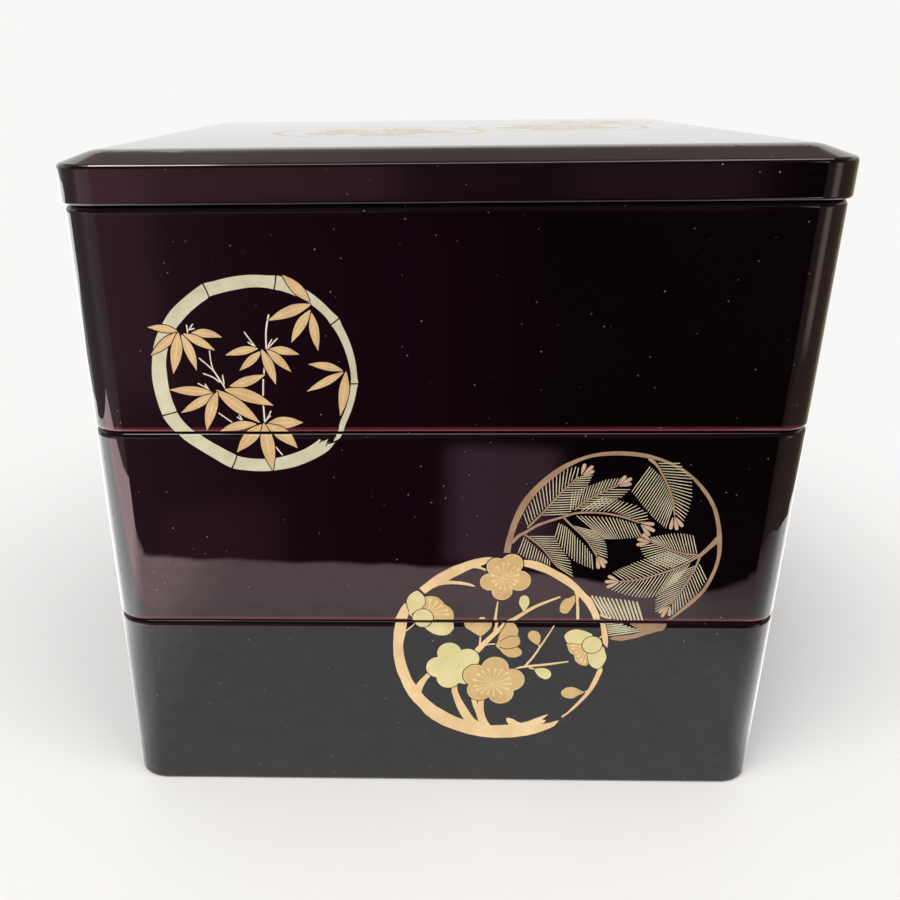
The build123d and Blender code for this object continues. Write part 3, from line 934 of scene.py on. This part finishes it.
def add_artwork():
    """Draws the roundels, cuts them at the seams, and lays each part on its own tier."""
    art = Drawing()
    draw_bamboo(art)
    draw_pine(art)
    draw_plum(art)
    levels = []
    for level in range(len(tier_names)):
        bottom = level * tier_height
        top = bottom + tier_height
        levels += [bottom + h for h in foot_levels] + [top - h for h in rim_levels]
    places, shown = art.regions(levels)
    materials = {name: gold_material(name, light, dark) for name, (light, dark, _, _) in finishes.items()}
    for layer, triangles in shown.items():
        _, _, slot, height = finishes[layer]
        for level, tier in enumerate(tier_names):
            low = level * tier_height + foot_levels[0]
            high = (level + 1) * tier_height - rim_levels[0]
            inside = [t for t in triangles if low < sum(places[v][1] for v in t) / 3 < high]
            if not inside:
                continue
            piece = raised_solid(f"{tier}_{layer}", places, inside, level, height)
            piece.data.materials.append(materials[layer])
            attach(piece, tier)


# Stage


backdrop = rgb(248, 248, 246)

# The table covering turns to the background's white between these distances from the box. Metres
WHITE_RANGE = (0.1, 0.37)

# The part of the table that the box mirrors, as its outline and its wavy front edge, in millimetres
table_outline = [
    (-460, -395), (-420, -380), (-294, -356), (-216, -339), (-170, -335), (150, -335), (160, -252),
    (200, -250), (240, -225), (265, -190), (290, -130), (300, -90), (300, -40), (295, 25), (295, 2000),
    (-2000, 2000), (-2000, 300), (-460, 300),
]
table_front = [
    (-170, -335), (-151, -289), (-135, -250), (-102, -246), (-60, -243), (-23, -241.5), (13, -239),
    (34, -237), (60, -231), (78, -224), (99, -217), (121, -218), (139, -228), (159, -250), (180, -340),
]
FRONT_EDGE_SOFTNESS = 0.006

# How bright the mirrored table is, as ramps: from far left up to the box's left side, and from the front
# backwards at its right side, with the places where each begins and ends. Metres
GLOW_LEFT = [(0.0, 0.24), (0.03, 0.31), (0.083, 0.41), (0.227, 0.47), (0.4, 0.6), (0.63, 0.85), (1.0, 0.8)]
GLOW_LEFT_RANGE = (-0.26, -0.085)
GLOW_RIGHT = [(0.0, 0.05), (0.18, 0.12), (0.35, 0.215), (0.55, 0.31), (0.65, 0.41), (0.8, 0.6)]
GLOW_RIGHT_FRONT = 0.25
GLOW_RIGHT_DEPTH = 0.2
GLOW_SIDES_MEET = (0.095, 0.125)
GLOW_STRENGTH = 4.0
RED_FRONT_RANGE = (-0.215, -0.185)


def floor_material():
    """Pale table covering, going to the white of the background away from the box."""
    material = bpy.data.materials.new("floor")
    s = Shader(material)
    place = s.position()
    distance = s.node("VectorMath", {0: place}, operation="LENGTH").outputs["Value"]
    cloth = s.node(
        "BsdfPrincipled", {"Base Color": rgb(243, 241, 238), "Roughness": 0.9, "Specular IOR Level": 0.1}
    )
    far = s.node("Emission", {"Color": backdrop, "Strength": 1.0})
    path = s.node("LightPath").outputs
    share = s.times(s.smooth(distance, *WHITE_RANGE), path["Is Camera Ray"])
    seen = s.node("MixShader", {0: share, 1: cloth.outputs[0], 2: far.outputs[0]}).outputs[0]
    # In the gloss the covering glows with painted room light: brighter beyond both sides of the box, redder
    # far in front
    x, y, _ = s.axes(place)
    leftward = s.ramp(s.smooth(x, *GLOW_LEFT_RANGE, 1.0, 0.0), GLOW_LEFT)
    depth = s.math("DIVIDE", s.plus(y, GLOW_RIGHT_FRONT), GLOW_RIGHT_DEPTH)
    level = s.mix(s.smooth(x, *GLOW_SIDES_MEET), leftward, s.ramp(depth, GLOW_RIGHT))
    weave = s.noise(place, 130.0, 3.0)
    level = s.mix(s.smooth(weave, 0.3, 0.7, 0.0, 0.16), level, (0.1, 0.1, 0.1, 1.0))
    tint = s.mix(s.smooth(y, *RED_FRONT_RANGE), (1.55, 1.08, 1.14, 1.0), (1.0, 0.985, 0.99, 1.0))
    level = s.node("Mix", {0: 1.0, 6: level, 7: tint}, data_type="RGBA", blend_type="MULTIPLY").outputs[2]
    glow = s.node("Emission", {"Color": level, "Strength": GLOW_STRENGTH}).outputs[0]
    # Its front edge hangs in soft waves. The ramp holds it as shares of a span across and a span in depth
    left, right = table_front[0][0], 200
    nearest, depth_span = table_front[-1][1], 130
    across = s.math("DIVIDE", s.plus(x, -left * MM), (right - left) * MM)
    front = s.ramp(
        across, [((px - left) / (right - left), (py - nearest) / depth_span) for px, py in table_front]
    )
    edge = s.plus(s.times(front, depth_span * MM), nearest * MM)
    inward = s.minus(s.plus(y, s.times(s.noise(place, 60.0), FRONT_EDGE_SOFTNESS)), edge)
    clear = s.node("BsdfTransparent").outputs[0]
    cut = s.node("MixShader", {0: s.smooth(inward, 0.0, FRONT_EDGE_SOFTNESS), 1: clear, 2: glow}).outputs[0]
    mirrored = s.node("MixShader", {0: path["Is Glossy Ray"], 1: seen, 2: cut})
    s.node("OutputMaterial", {"Surface": mirrored.outputs[0]})
    return material


def add_floor(name, corners, height, material):
    """A level sheet of floor through the given corners, in millimetres."""
    mesh = bpy.data.meshes.new(name)
    mesh.from_pydata([(x * MM, y * MM, height * MM) for x, y in corners], [], [range(len(corners))])
    mesh.materials.append(material)
    floor = bpy.data.objects.new(name, mesh)
    scene.collection.objects.link(floor)
    return floor


FLOOR_REACH = 12000.0
FLOOR_HEIGHT = -0.04
TABLE_HEIGHT = -0.02


def add_stage():
    """A floor that reaches to the horizon. The box mirrors only the part of it that is the table."""
    material = floor_material()
    corners = [(x * FLOOR_REACH, y * FLOOR_REACH) for x, y in ((-1, -1), (1, -1), (1, 1), (-1, 1))]
    add_floor("floor", corners, FLOOR_HEIGHT, material).visible_glossy = False
    add_floor("table", table_outline, TABLE_HEIGHT, material)


# The mirrored room low down, as azimuths in degrees from the front and a grey or colour at each
ROOM_AROUND = [
    (-180, 1.0), (-126, 1.0), (-112, (0.6, 0.57, 0.57)), (-98, (0.36, 0.31, 0.32)), (-79, (0.37, 0.27, 0.3)),
    (-63, (0.46, 0.36, 0.38)), (-49, (0.7, 0.55, 0.58)), (-26, (0.6, 0.38, 0.43)), (-24, (0.42, 0.2, 0.25)),
    (-17, (0.24, 0.09, 0.15)), (-10, (0.15, 0.045, 0.09)), (-6, (0.11, 0.025, 0.06)),
    (0, (0.08, 0.018, 0.05)), (5, (0.045, 0.01, 0.03)), (9, (0.012, 0.006, 0.01)),
    (24, (0.008, 0.005, 0.006)), (27, (0.12, 0.09, 0.08)), (42, (0.3, 0.2, 0.17)), (66, (0.3, 0.19, 0.16)),
    (92, (0.24, 0.15, 0.12)), (109, (0.3, 0.21, 0.14)), (125, (0.5, 0.4, 0.3)), (140, (0.8, 0.66, 0.5)),
    (158, 1.0), (180, 1.0),
]

# Soft shapes in it: left and right azimuth, bottom and top elevation, softness across and up, and colour
ROOM_SHAPES = [
    (3.0, 10.0, -28.0, -20.8, 1.3, 0.6, (0.5, 0.27, 0.38)),
    (-16.0, -9.0, -28.0, -24.0, 2.0, 1.0, (0.12, 0.05, 0.07)),
    (-25.0, -15.0, -17.0, 8.0, 1.5, 2.0, (0.2, 0.1, 0.13)),
    (-60.0, -0.5, -6.4, 8.0, 2.0, 0.7, (0.38, 0.16, 0.2)),
    (-0.5, 10.0, -6.4, 8.0, 2.0, 0.7, (0.1, 0.05, 0.06)),
    (10.0, 20.0, -6.4, 8.0, 2.0, 0.7, (0.2, 0.09, 0.12)),
    (45.0, 62.0, -13.5, 8.0, 5.0, 1.5, (1.0, 0.78, 0.66)),
    (23.4, 25.4, -40.0, 20.0, 0.25, 2.0, (3.0, 2.9, 2.9)),
]

# High windows in front of the box: their elevations, and the part of their width that is brightest
WINDOW_ELEVATIONS = (58.0, 74.0)
BRIGHT_WINDOW = (-0.34, -0.19)


def add_world():
    """Plain light for the diffuse rays. The gloss mirrors a room: pale behind and beside, dark in front."""
    world = bpy.data.worlds.new("world")
    scene.world = world
    s = Shader(world)
    x, y, z = s.axes(s.node("TexCoord").outputs["Generated"])
    degrees = 180 / math.pi
    azimuth = s.times(s.math("ARCTAN2", x, s.times(y, -1.0)), degrees)
    elevation = s.times(s.math("ARCSINE", z), degrees)
    turn = s.math("DIVIDE", s.plus(azimuth, 180.0), 360.0)
    low = s.ramp(turn, [((angle + 180) / 360, colour) for angle, colour in ROOM_AROUND])
    high = s.mix(s.smooth(x, -0.25, 0.08), (0.47, 0.366, 0.343, 1.0), (0.36, 0.276, 0.266, 1.0))
    behind = s.mix(s.smooth(z, 0.46, 0.54), (1.0, 0.99, 0.975, 1.0), high)
    ceiling = s.mix(s.smooth(y, -0.3, 0.25), (0.10, 0.08, 0.08, 1.0), behind)
    # The ceiling begins lower behind the box than in front of it
    far_back = s.smooth(s.times(y, s.smooth(elevation, 2.0, 5.0)), 0.55, 0.85)
    raised = s.larger(s.smooth(elevation, 8.0, 22.0), far_back)
    mirrored = s.mix(raised, low, ceiling)
    for left, right, bottom, top, soft_across, soft_up, colour in ROOM_SHAPES:
        wide = s.band(azimuth, left, right, soft_across)
        mirrored = s.add(mirrored, s.times(wide, s.band(elevation, bottom, top, soft_up)), colour)
    # The windows draw the thin lines along the rounded edges
    opening = s.times(s.band(elevation, *WINDOW_ELEVATIONS, 2.0), s.smooth(y, 0.0, 0.05, 1.0, 0.0))
    mirrored = s.add(mirrored, opening, (4.0, 3.2, 3.3))
    mirrored = s.add(mirrored, s.times(opening, s.band(x, *BRIGHT_WINDOW, 0.02)), (10.0, 10.0, 10.0))
    path = s.node("LightPath").outputs
    lit = s.mix(path["Is Glossy Ray"], (0.62, 0.62, 0.63, 1.0), mirrored)
    seen = s.mix(s.larger(path["Is Camera Ray"], path["Is Transmission Ray"]), lit, backdrop)
    background = s.node("Background", {"Color": seen, "Strength": 1.0})
    s.node("OutputWorld", {"Surface": background.outputs[0]})


def add_lamp(name, place, target, size, power):
    """A soft square lamp aimed at a point, in metres and watts, that no glossy ray meets."""
    data = bpy.data.lights.new(name, "AREA")
    data.size = size
    data.energy = power
    lamp = bpy.data.objects.new(name, data)
    aim = Vector(target) - Vector(place)
    lamp.matrix_world = Matrix.Translation(Vector(place)) @ aim.to_track_quat("-Z", "Y").to_matrix().to_4x4()
    lamp.visible_glossy = False
    scene.collection.objects.link(lamp)


add_camera()
add_stage()
add_world()
add_lamp("key", (-0.9, -1.0, 1.7), (0, 0, 0.1), 1.2, 22)
add_lamp("fill", (1.1, -0.8, 1.3), (0, 0, 0.1), 1.2, 9)

lacquer = lacquer_material("lacquer", False)
lid_lacquer = lacquer_material("lid_lacquer", True)
wood = wood_material()
for name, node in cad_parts.items():
    material = wood if name.endswith("corner_tongues") else lid_lacquer if name.startswith("lid") else lacquer
    node.data.materials.clear()
    node.data.materials.append(material)
add_artwork()
